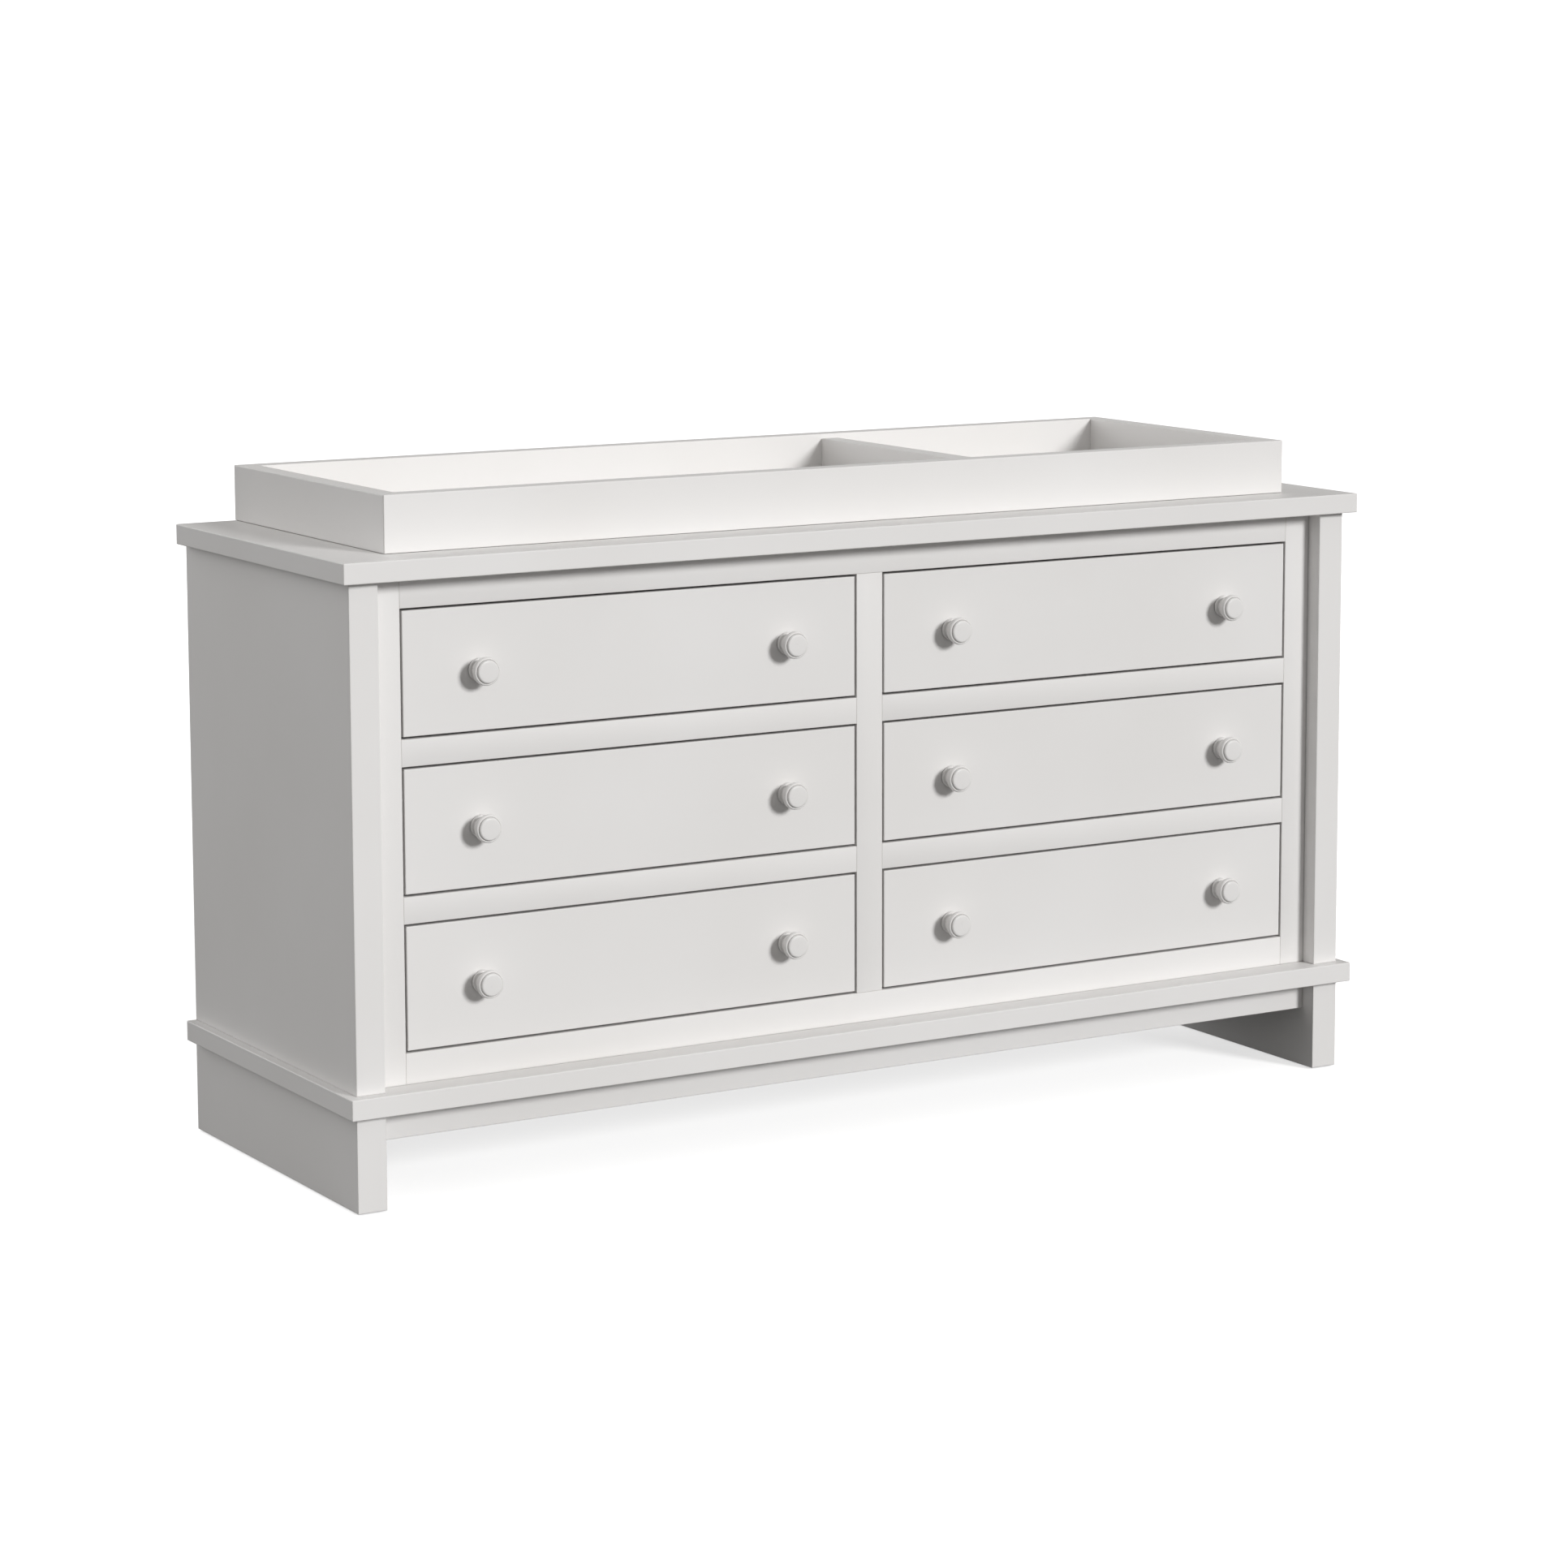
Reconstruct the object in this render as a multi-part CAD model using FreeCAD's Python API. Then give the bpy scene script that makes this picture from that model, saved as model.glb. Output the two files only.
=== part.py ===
"""Changing table: a six-drawer nursery dresser with a lift-off changing tray on top.

Millimetres. +X runs along the width to the right, +Y runs to the back, +Z is up.
The origin is on the floor, in the middle of the width and of the whole depth.
"""
import FreeCAD, Part
import os
from math import asin, cos, radians, sin, tan

# ---------------------------------------------------------------- driving dimensions
# Case
CASE_WIDTH = 1540.0            # outer face of one side panel to the other
CASE_DEPTH = 508.0             # front edge of a side panel to the back
TOP_UNDERSIDE = 800.0          # floor to the underside of the top board
TOP_THICKNESS = 27.0
BASE_UNDERSIDE = 126.5         # floor to the underside of the base board
BASE_THICKNESS = 27.0
SIDE_OVERHANG = 13.5           # top and base boards past the side panels
FRONT_OVERHANG = 16.0          # top and base boards past the front of the side panels
SIDE_THICKNESS = 40.0
BOARD_ROUND = 1.2              # eased edge of a painted board
GLIDE_RADIUS = 11.0
GLIDE_THICKNESS = 2.0
GLIDE_INSET = 42.0             # from the front or back of a leg to the middle of a glide

# Face frame
FRAME_RECESS = 25.0            # face frame behind the front of the side panels
FRAME_THICKNESS = 22.0
SIDE_STILE_WIDTH = 41.0
CENTER_STILE_WIDTH = 40.0
TOP_RAIL_HEIGHT = 39.5
BOTTOM_RAIL_HEIGHT = 40.5
DIVIDER_RAIL_HEIGHT = 35.0
FRAME_ROUND = 0.6
APRON_HEIGHT = 40.5
APRON_THICKNESS = 22.0
ROWS = 3

# Inside of the case
PARTITION_THICKNESS = 18.0
BACK_PANEL_THICKNESS = 5.0
BACK_PANEL_CLEARANCE = 0.5
BACK_RABBET_WIDTH = 12.0
BACK_RAIL_HEIGHT = 80.0
BACK_RAIL_THICKNESS = 19.0
TIE_HOLE_RADIUS = 1.75         # pilot holes for a wall strap
TIE_HOLE_SPACING = 32.0
TIE_HOLE_DEPTH = 20.0          # through the back panel and into the rail
TIE_FROM_SIDE = 150.0          # outer face of a side panel to the middle of a pair of tie holes

# Drawers
FRONT_GAP = 3.0                # around an inset drawer front
FRONT_THICKNESS = 20.0
FRONT_ROUND = 1.0
BOX_WALL = 12.0
BOX_BACK_CLEARANCE = 19.0      # box to the back rail
BOX_FLOOR_CLEARANCE = 12.0     # box above the rail below it
BOX_HEAD_CLEARANCE = 13.5      # box below the rail above it
BOX_BOTTOM_THICKNESS = 5.0
BOX_BOTTOM_RISE = 10.0         # bottom panel above the lower edge of the box
BOX_GROOVE_DEPTH = 6.0
JOINT_CLEARANCE = 0.1          # panel in its groove, dovetail in its socket
DOVETAILS = 4
DOVETAIL_SLOPE = 10.0          # degrees
DOVETAIL_ROOT = 0.3            # half width of a tail at its root, as a share of their spacing

# Knobs
KNOB_FROM_END = 105.5          # end of a drawer front to the middle of its knob
KNOB_HEIGHT_SHIFT = -1.5       # knobs below the middle of the drawer front
KNOB_PROJECTION = 30.0
KNOB_HEAD_RADIUS = 18.4
KNOB_FLARE_RADIUS = 17.2       # where the flare meets the rounded rim
KNOB_RIM_HEIGHT = 8.0
KNOB_FACE_RADIUS = 14.0
KNOB_DOME = 2.4                # rise of the domed face
KNOB_GROOVE_WIDTH = 1.2
KNOB_GROOVE_DEPTH = 0.9
KNOB_NECK_RADIUS = 11.8
KNOB_NECK_LENGTH = 2.0
KNOB_FOOT_RADIUS = 14.6
KNOB_FOOT_ROUND = 0.8
KNOB_FOOT_THICKNESS = 5.2
KNOB_SCREW_RADIUS = 2.0
KNOB_SCREW_REACH = 15.0        # screw thread inside the knob
KNOB_SCREW_HEAD_RADIUS = 4.6
KNOB_SCREW_HEAD_THICKNESS = 2.6
SCREW_CLEARANCE = 0.05         # round a screw in its hole

# Drawer slides, three nested channels on each side of a drawer
SLIDE_STEP = 50.0              # stock lengths go up in steps of this
SLIDE_MIDDLE_SHORTER = 40.0    # middle member shorter than the other two
SLIDE_THICKNESS = 12.7
SLIDE_SIDE_CLEARANCE = 0.3     # slide to the drawer box and to its packer
SLIDE_HEIGHT = 45.0
SLIDE_SHEET = 1.2
SLIDE_RUNNING_GAP = 0.8        # between nested channels
SLIDE_SETBACK = 4.0            # front of the slides behind the face frame
PACKER_HEIGHT = 70.0

# Changing tray
TRAY_END_SETBACK = 85.0        # end of the top board to the tray
TRAY_FRONT_SETBACK = 63.0      # front of the top board to the tray
TRAY_HEIGHT = 74.0
TRAY_WALL = 27.0
TRAY_ROUND = 1.2
TRAY_BOTTOM_THICKNESS = 6.0
TRAY_BOTTOM_RISE = 4.0         # tray bottom above the lower edge of the walls
TRAY_GROOVE_DEPTH = 8.0
TRAY_SEAT_GAP = 0.3            # felt dots between tray and top board
DIVIDER_FROM_RIGHT = 442.0     # clear width of the right-hand compartment
DIVIDER_DROP = 6.5             # divider below the top of the walls
STRAP_FROM_END = 198.5         # end of the tray to the middle of a strap
STRAP_WIDTH = 25.0
STRAP_THICKNESS = 2.0
STRAP_ABOVE_TOP = 52.0         # strap up the tray wall, from the top board
STRAP_BELOW_TOP = 50.0         # strap down the back, from the top board
STRAP_FIRST_SCREW = 15.0       # lower edge of the tray wall to the first strap screw
STRAP_SCREW_SPACING = 24.0
STRAP_SCREW_DEPTH = 19.0       # into the tray wall
STRAP_SLOT_WIDTH = 5.0
HOOK_SCREW_RADIUS = 2.0
HOOK_SCREW_DEPTH = 18.0        # into the back panel and the rail
HOOK_BELOW_TOP = 32.0          # underside of the top board to the hook screw
HOOK_HEAD_RADIUS = 5.0
HOOK_HEAD_THICKNESS = 2.5
HOOK_HEAD_GAP = 0.3            # screw head behind the strap

# ---------------------------------------------------------------- worked out from them
HALF_CASE = CASE_WIDTH / 2
HALF_INSIDE = HALF_CASE - SIDE_THICKNESS
BASE_TOP = BASE_UNDERSIDE + BASE_THICKNESS
TOP_SURFACE = TOP_UNDERSIDE + TOP_THICKNESS
DEPTH_BEHIND = STRAP_THICKNESS + HOOK_HEAD_GAP + HOOK_HEAD_THICKNESS
# y of the front edge of the side panels, with the origin in the middle of the whole depth
FRONT = (FRONT_OVERHANG - CASE_DEPTH - DEPTH_BEHIND) / 2
BACK = FRONT + CASE_DEPTH
FRAME_FRONT = FRONT + FRAME_RECESS
FRAME_BACK = FRAME_FRONT + FRAME_THICKNESS
BACK_PANEL_FRONT = BACK - BACK_PANEL_THICKNESS
BACK_RAIL_FRONT = BACK_PANEL_FRONT - BACK_RAIL_THICKNESS

OPENING_OUTER = HALF_INSIDE - SIDE_STILE_WIDTH
OPENING_INNER = CENTER_STILE_WIDTH / 2
OPENING_WIDTH = OPENING_OUTER - OPENING_INNER
OPENING_MIDDLE = (OPENING_OUTER + OPENING_INNER) / 2
FRAME_BOTTOM = BASE_TOP + BOTTOM_RAIL_HEIGHT
FRAME_TOP = TOP_UNDERSIDE - TOP_RAIL_HEIGHT
OPENING_HEIGHT = (FRAME_TOP - FRAME_BOTTOM - (ROWS - 1) * DIVIDER_RAIL_HEIGHT) / ROWS
ROW_PITCH = OPENING_HEIGHT + DIVIDER_RAIL_HEIGHT

BOX_HALF_WIDTH = OPENING_WIDTH / 2 - SLIDE_THICKNESS - SLIDE_SIDE_CLEARANCE
BOX_HEIGHT = OPENING_HEIGHT - BOX_FLOOR_CLEARANCE - BOX_HEAD_CLEARANCE
BOX_FRONT = FRAME_FRONT + FRONT_THICKNESS
BOX_BACK = BACK_RAIL_FRONT - BOX_BACK_CLEARANCE
SLIDE_FRONT = FRAME_BACK + SLIDE_SETBACK
SLIDE_LENGTH = SLIDE_STEP * ((BOX_BACK - SLIDE_FRONT) // SLIDE_STEP)
TIE_FROM_MIDDLE = HALF_CASE - TIE_FROM_SIDE

TRAY_BACK = BACK
TRAY_FRONT = FRONT - FRONT_OVERHANG + TRAY_FRONT_SETBACK
TRAY_FOOT = TOP_SURFACE + TRAY_SEAT_GAP
TRAY_HALF = HALF_CASE + SIDE_OVERHANG - TRAY_END_SETBACK
TRAY_INNER_HALF = TRAY_HALF - TRAY_WALL
STRAP_FROM_MIDDLE = TRAY_HALF - STRAP_FROM_END
HOOK_HEIGHT = TOP_UNDERSIDE - HOOK_BELOW_TOP
SIDES = {"left": -1, "right": 1}
ROW_NAMES = ["lower", "middle", "upper"]

os.makedirs("parts", exist_ok=True)


# ---------------------------------------------------------------- helpers
def vec(x, y, z):
    """A point or a direction."""
    return FreeCAD.Vector(x, y, z)


def board(x0, x1, y0, y1, z0, z1):
    """A plain rectangular board between two corners, in either order along X."""
    low = min(x0, x1)
    return Part.makeBox(abs(x1 - x0), y1 - y0, z1 - z0, vec(low, y0, z0))


def eased(solid, radius, keep=lambda edge: True):
    """The board with its straight edges rounded, limited by its thinnest side."""
    box = solid.BoundBox
    limit = 0.4 * min(box.XLength, box.YLength, box.ZLength)
    edges = [edge for edge in solid.Edges if keep(edge)]
    return solid.makeFillet(min(radius, limit), edges)


def front_edges(solid):
    """Picks the edges that lie wholly on the front face of a board."""
    front = solid.BoundBox.YMin
    return lambda edge: edge.BoundBox.YMax < front + 1e-6


def rod(x, y0, y1, z, radius):
    """A round bar along Y."""
    return Part.makeCylinder(radius, y1 - y0, vec(x, y0, z), vec(0, 1, 0))


def write(node, solids):
    """Writes one node, as a single solid or as a group of separate ones."""
    shape = solids[0] if len(solids) == 1 else Part.makeCompound(solids)
    shape.exportStep("parts/" + node + ".step")


def opening_floor(row):
    """Height of the lower edge of a row's drawer openings, row 0 at the bottom."""
    return FRAME_BOTTOM + row * ROW_PITCH


def slide_height(row):
    """Height of the middle of a row's drawer slides."""
    return opening_floor(row) + BOX_FLOOR_CLEARANCE + BOX_HEIGHT / 2


# ---------------------------------------------------------------- case
def make_case_boards():
    """Top, base, side panels and legs: thick painted boards with eased edges."""
    reach = HALF_CASE + SIDE_OVERHANG
    front = FRONT - FRONT_OVERHANG
    top = board(-reach, reach, front, BACK, TOP_UNDERSIDE, TOP_SURFACE)
    base = board(-reach, reach, front, BACK, BASE_UNDERSIDE, BASE_TOP)
    write("top_board", [eased(top, BOARD_ROUND)])
    write("base_board", [eased(base, BOARD_ROUND)])
    legs = []
    for side, sign in SIDES.items():
        inner = sign * HALF_INSIDE
        outer = sign * HALF_CASE
        panel = board(inner, outer, FRONT, BACK, BASE_TOP, TOP_UNDERSIDE)
        panel = eased(panel, BOARD_ROUND, lambda edge: edge.BoundBox.ZLength > SIDE_THICKNESS)
        rabbet = board(
            inner - sign, inner + sign * BACK_RABBET_WIDTH,
            BACK_PANEL_FRONT, BACK + 1, BASE_TOP - 1, TOP_UNDERSIDE + 1,
        )
        write(side + "_side_panel", [panel.cut(rabbet)])
        leg = board(inner, outer, FRONT, BACK, GLIDE_THICKNESS, BASE_UNDERSIDE)
        legs.append(eased(leg, BOARD_ROUND, lambda edge: edge.BoundBox.ZMax < BASE_UNDERSIDE))
    write("leg_panels", legs)


def make_glides():
    """Four round nylon glides, one near each end of each leg panel."""
    glides = []
    for sign in SIDES.values():
        x = sign * (HALF_CASE - SIDE_THICKNESS / 2)
        for y in (FRONT + GLIDE_INSET, BACK - GLIDE_INSET):
            glides.append(Part.makeCylinder(GLIDE_RADIUS, GLIDE_THICKNESS, vec(x, y, 0)))
    write("floor_glides", glides)


def make_aprons():
    """Front and rear aprons under the base board, between the legs."""
    low = BASE_UNDERSIDE - APRON_HEIGHT
    aprons = []
    for y in (FRAME_FRONT, BACK - FRAME_RECESS - APRON_THICKNESS):
        apron = board(-HALF_INSIDE, HALF_INSIDE, y, y + APRON_THICKNESS, low, BASE_UNDERSIDE)
        lower_edges = [e for e in apron.Edges if e.BoundBox.ZMax < low + 1e-6 and e.Length > HALF_CASE]
        aprons.append(apron.makeFillet(FRAME_ROUND, lower_edges))
    write("base_aprons", aprons)


def make_face_frame():
    """Stiles run the full height and the rails butt between them."""
    side_stiles = []
    for sign in SIDES.values():
        stile = board(
            sign * OPENING_OUTER, sign * HALF_INSIDE, FRAME_FRONT, FRAME_BACK, BASE_TOP, TOP_UNDERSIDE
        )
        side_stiles.append(stile)
    write("side_stiles", side_stiles)
    top_rail = board(
        -OPENING_OUTER, OPENING_OUTER, FRAME_FRONT, FRAME_BACK, FRAME_TOP, TOP_UNDERSIDE
    )
    write("top_rail", [top_rail])
    bottom_rail = board(
        -OPENING_OUTER, OPENING_OUTER, FRAME_FRONT, FRAME_BACK, BASE_TOP, FRAME_BOTTOM
    )
    write("bottom_rail", [bottom_rail])
    center = board(-OPENING_INNER, OPENING_INNER, FRAME_FRONT, FRAME_BACK, FRAME_BOTTOM, FRAME_TOP)
    write("center_stile", [center])
    dividers = []
    for sign in SIDES.values():
        for row in range(1, ROWS):
            top = opening_floor(row)
            rail = board(
                sign * OPENING_INNER, sign * OPENING_OUTER,
                FRAME_FRONT, FRAME_BACK, top - DIVIDER_RAIL_HEIGHT, top,
            )
            dividers.append(rail)
    write("drawer_divider_rails", dividers)


def make_inside():
    """Partition behind the centre stile, back rail, back panel and the packers for the slides."""
    half = PARTITION_THICKNESS / 2
    partition = board(-half, half, FRAME_BACK, BACK_RAIL_FRONT, BASE_TOP, TOP_UNDERSIDE)
    write("center_partition", [partition])

    rail = board(
        -HALF_INSIDE, HALF_INSIDE, BACK_RAIL_FRONT, BACK_PANEL_FRONT,
        TOP_UNDERSIDE - BACK_RAIL_HEIGHT, TOP_UNDERSIDE,
    )
    reach = HALF_INSIDE + BACK_RABBET_WIDTH - BACK_PANEL_CLEARANCE
    panel = board(
        -reach, reach, BACK_PANEL_FRONT, BACK,
        BASE_TOP + BACK_PANEL_CLEARANCE, TOP_UNDERSIDE - BACK_PANEL_CLEARANCE,
    )
    for sign in SIDES.values():
        for offset in (-TIE_HOLE_SPACING / 2, TIE_HOLE_SPACING / 2):
            x = sign * TIE_FROM_MIDDLE + offset
            hole = rod(x, BACK - TIE_HOLE_DEPTH, BACK + 1, HOOK_HEIGHT, TIE_HOLE_RADIUS)
            rail = rail.cut(hole)
            panel = panel.cut(hole)
        hook_hole = rod(
            sign * STRAP_FROM_MIDDLE, BACK - HOOK_SCREW_DEPTH - SCREW_CLEARANCE, BACK + 1,
            HOOK_HEIGHT, HOOK_SCREW_RADIUS + SCREW_CLEARANCE,
        )
        rail = rail.cut(hook_hole)
        panel = panel.cut(hook_hole)
    write("back_top_rail", [rail])
    write("back_panel", [panel])

    packers = []
    y0 = FRAME_BACK
    y1 = SLIDE_FRONT + SLIDE_LENGTH
    for sign in SIDES.values():
        for row in range(ROWS):
            z = slide_height(row)
            for wall, edge in ((HALF_INSIDE, OPENING_OUTER), (half, OPENING_INNER)):
                packer = board(
                    sign * wall, sign * edge, y0, y1, z - PACKER_HEIGHT / 2, z + PACKER_HEIGHT / 2
                )
                packers.append(packer)
    write("slide_packers", packers)


# ---------------------------------------------------------------- drawer slides
def channel(wall_x, into, depth0, depth1, height, opens_to_drawer, z, y0, length):
    """A sheet-steel channel along Y.

    wall_x is the packer face, into the direction towards the drawer (+1 or -1), and
    depth0 to depth1 the span from the packer that the channel takes up. The web is at
    depth0 if the channel opens to the drawer, and at depth1 if it opens to the packer.
    """
    half = height / 2
    web, lip = (depth0, depth1) if opens_to_drawer else (depth1, depth0)
    toward = 1 if opens_to_drawer else -1
    inside = web + toward * SLIDE_SHEET
    outline = [
        (web, -half), (lip, -half), (lip, SLIDE_SHEET - half), (inside, SLIDE_SHEET - half),
        (inside, half - SLIDE_SHEET), (lip, half - SLIDE_SHEET), (lip, half), (web, half),
    ]
    points = [vec(wall_x + into * depth, y0, z + rise) for depth, rise in outline]
    face = Part.Face(Part.makePolygon(points + points[:1]))
    return face.extrude(vec(0, length, 0))


def slide_members(sign, row):
    """The cabinet, middle and drawer members on both sides of one drawer."""
    z = slide_height(row)
    start = SLIDE_SIDE_CLEARANCE / 2
    end = start + SLIDE_THICKNESS
    step = SLIDE_SHEET + SLIDE_RUNNING_GAP
    middle_height = SLIDE_HEIGHT - 2 * step
    inner_height = middle_height - 2 * step
    cabinet = []
    middle = []
    drawer = []
    for wall_x, into in ((sign * OPENING_OUTER, -sign), (sign * OPENING_INNER, sign)):
        cabinet.append(channel(
            wall_x, into, start, end - 2 * step, SLIDE_HEIGHT, True, z, SLIDE_FRONT, SLIDE_LENGTH
        ))
        middle.append(channel(
            wall_x, into, start + step, end - step, middle_height, True, z,
            SLIDE_FRONT, SLIDE_LENGTH - SLIDE_MIDDLE_SHORTER,
        ))
        drawer.append(channel(
            wall_x, into, start + 2 * step, end, inner_height, False, z, SLIDE_FRONT, SLIDE_LENGTH
        ))
    return cabinet, middle, drawer


# ---------------------------------------------------------------- drawers
def knob_profile():
    """Half outline of a turned knob: radius along X, distance in front of the drawer along -Y.

    A rounded foot, a narrow neck, a flared head with a rounded rim, a fine V groove and a
    face domed as part of a sphere.
    """
    foot_edge = KNOB_FOOT_RADIUS - KNOB_FOOT_ROUND
    neck_low = KNOB_FOOT_THICKNESS
    neck_high = neck_low + KNOB_NECK_LENGTH
    face_rim = KNOB_PROJECTION - KNOB_DOME
    head_low = face_rim - KNOB_RIM_HEIGHT
    groove_outer = KNOB_FACE_RADIUS + KNOB_GROOVE_WIDTH
    dome_radius = (KNOB_FACE_RADIUS ** 2 + KNOB_DOME ** 2) / (2 * KNOB_DOME)
    half_angle = asin(KNOB_FACE_RADIUS / dome_radius) / 2
    dome_middle = KNOB_PROJECTION - dome_radius * (1 - cos(half_angle))

    def at(radius, forward):
        return vec(radius, -forward, 0)

    edges = [
        Part.LineSegment(at(0, 0), at(foot_edge, 0)),
        Part.Arc(at(foot_edge, 0), at(KNOB_FOOT_RADIUS, neck_low / 2), at(foot_edge, neck_low)),
        Part.LineSegment(at(foot_edge, neck_low), at(KNOB_NECK_RADIUS, neck_low)),
        Part.LineSegment(at(KNOB_NECK_RADIUS, neck_low), at(KNOB_NECK_RADIUS, neck_high)),
        Part.LineSegment(at(KNOB_NECK_RADIUS, neck_high), at(KNOB_FLARE_RADIUS, head_low)),
        Part.Arc(
            at(KNOB_FLARE_RADIUS, head_low), at(KNOB_HEAD_RADIUS, head_low + KNOB_RIM_HEIGHT / 2),
            at(groove_outer, face_rim),
        ),
        Part.LineSegment(
            at(groove_outer, face_rim),
            at(KNOB_FACE_RADIUS + KNOB_GROOVE_WIDTH / 2, face_rim - KNOB_GROOVE_DEPTH),
        ),
        Part.LineSegment(
            at(KNOB_FACE_RADIUS + KNOB_GROOVE_WIDTH / 2, face_rim - KNOB_GROOVE_DEPTH),
            at(KNOB_FACE_RADIUS, face_rim),
        ),
        Part.Arc(
            at(KNOB_FACE_RADIUS, face_rim), at(dome_radius * sin(half_angle), dome_middle),
            at(0, KNOB_PROJECTION),
        ),
        Part.LineSegment(at(0, KNOB_PROJECTION), at(0, 0)),
    ]
    return Part.Face(Part.Wire([edge.toShape() for edge in edges]))


def make_knob(x, z):
    """A turned wooden knob with a blind hole for its screw."""
    knob = knob_profile().revolve(vec(0, 0, 0), vec(0, 1, 0), 360)
    knob.translate(vec(x, FRAME_FRONT, z))
    tip = FRAME_FRONT - KNOB_SCREW_REACH - SCREW_CLEARANCE
    return knob.cut(rod(x, tip, FRAME_FRONT + 1, z, KNOB_SCREW_RADIUS + SCREW_CLEARANCE))


def make_knob_screw(x, z):
    """A pan-head screw from inside the box, through both front boards, into the knob."""
    seat = BOX_FRONT + BOX_WALL
    shank = rod(x, FRAME_FRONT - KNOB_SCREW_REACH, seat, z, KNOB_SCREW_RADIUS)
    head = rod(x, seat, seat + KNOB_SCREW_HEAD_THICKNESS, z, KNOB_SCREW_HEAD_RADIUS)
    return shank.fuse(head).removeSplitter()


def tails(x_outer, toward, y_end, inward, z0):
    """The dovetails at one end of a box side, as one shape.

    Each tail is a wedge the full thickness of the side, wider at the end of the board
    at y_end, which reaches back by the thickness of the cross board.
    """
    pitch = BOX_HEIGHT / DOVETAILS
    splay = BOX_WALL * tan(radians(DOVETAIL_SLOPE))
    narrow = pitch * DOVETAIL_ROOT
    wide = narrow + splay
    x_inner = x_outer + toward * BOX_WALL
    wedges = []
    for number in range(DOVETAILS):
        z = z0 + (number + 0.5) * pitch
        root = y_end + inward * BOX_WALL
        outline = [(y_end, -wide), (y_end, wide), (root, narrow), (root, -narrow)]
        points = [vec(x_outer, y, z + rise) for y, rise in outline]
        face = Part.Face(Part.makePolygon(points + points[:1]))
        wedges.append(face.extrude(vec(x_inner - x_outer, 0, 0)))
    return wedges


def make_drawer(side, sign, row):
    """One drawer: front board, dovetailed box, bottom panel, knobs and steelwork."""
    name = ROW_NAMES[row] + "_" + side + "_"
    middle_x = sign * OPENING_MIDDLE
    floor = opening_floor(row)
    half_front = OPENING_WIDTH / 2 - FRONT_GAP
    z0 = floor + BOX_FLOOR_CLEARANCE
    z1 = z0 + BOX_HEIGHT
    x0 = middle_x - BOX_HALF_WIDTH
    x1 = middle_x + BOX_HALF_WIDTH

    front = board(
        middle_x - half_front, middle_x + half_front, FRAME_FRONT, BOX_FRONT,
        floor + FRONT_GAP, floor + OPENING_HEIGHT - FRONT_GAP,
    )
    front = eased(front, FRONT_ROUND, front_edges(front))

    left = board(x0, x0 + BOX_WALL, BOX_FRONT, BOX_BACK, z0, z1)
    right = board(x1 - BOX_WALL, x1, BOX_FRONT, BOX_BACK, z0, z1)
    sub_front = board(x0, x1, BOX_FRONT, BOX_FRONT + BOX_WALL, z0, z1)
    back = board(x0, x1, BOX_BACK - BOX_WALL, BOX_BACK, z0, z1)
    side_tails = {}
    for label, x_outer, toward in (("left", x0, 1), ("right", x1, -1)):
        front_tails = tails(x_outer, toward, BOX_FRONT, 1, z0)
        back_tails = tails(x_outer, toward, BOX_BACK, -1, z0)
        side_tails[label] = front_tails + back_tails
    sub_front = sub_front.cut(side_tails["left"] + side_tails["right"])
    back = back.cut(side_tails["left"] + side_tails["right"])
    left = left.cut([sub_front, back])
    right = right.cut([sub_front, back])

    panel_z = z0 + BOX_BOTTOM_RISE
    reach = BOX_WALL - BOX_GROOVE_DEPTH
    groove = board(
        x0 + reach, x1 - reach, BOX_FRONT + reach, BOX_BACK - reach,
        panel_z, panel_z + BOX_BOTTOM_THICKNESS,
    )
    inset = reach + JOINT_CLEARANCE
    bottom = board(
        x0 + inset, x1 - inset, BOX_FRONT + inset, BOX_BACK - inset,
        panel_z, panel_z + BOX_BOTTOM_THICKNESS,
    )

    knob_z = floor + OPENING_HEIGHT / 2 + KNOB_HEIGHT_SHIFT
    knobs = []
    screws = []
    half_spacing = half_front - KNOB_FROM_END
    for x in (middle_x - half_spacing, middle_x + half_spacing):
        knobs.append(make_knob(x, knob_z))
        screws.append(make_knob_screw(x, knob_z))
        radius = KNOB_SCREW_RADIUS + SCREW_CLEARANCE
        hole = rod(x, FRAME_FRONT - 1, BOX_FRONT + BOX_WALL + 1, knob_z, radius)
        front = front.cut(hole)
        sub_front = sub_front.cut(hole)

    box = [piece.cut(groove) for piece in (left, right, sub_front, back)]
    write(name + "drawer_front", [front])
    write(name + "drawer_box", box)
    write(name + "drawer_bottom", [bottom])
    write(name + "drawer_knobs", knobs)

    cabinet, middle, drawer = slide_members(sign, row)
    write(name + "drawer_rails", drawer + screws)
    write(name + "slide_middles", middle)
    return cabinet


# ---------------------------------------------------------------- changing tray
def mitre_zone(y_outer, y_inner, z0):
    """The trapezoid, seen from above, that one long tray wall takes up between its mitres."""
    corners = [
        vec(-TRAY_HALF, y_outer, z0), vec(TRAY_HALF, y_outer, z0),
        vec(TRAY_INNER_HALF, y_inner, z0), vec(-TRAY_INNER_HALF, y_inner, z0),
    ]
    return Part.Face(Part.makePolygon(corners + corners[:1])).extrude(vec(0, 0, TRAY_HEIGHT))


def strap_screw_heights():
    """Heights of the two screws that hold a strap to the tray's back wall."""
    first = TRAY_FOOT + STRAP_FIRST_SCREW
    return [first, first + STRAP_SCREW_SPACING]


def make_screw(x, z, tip, seat):
    """A pan-head screw along Y, its tip in the wood and its head behind the seat."""
    shank = rod(x, tip, seat, z, HOOK_SCREW_RADIUS)
    head = rod(x, seat, seat + HOOK_HEAD_THICKNESS, z, HOOK_HEAD_RADIUS)
    return shank.fuse(head).removeSplitter()


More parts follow.
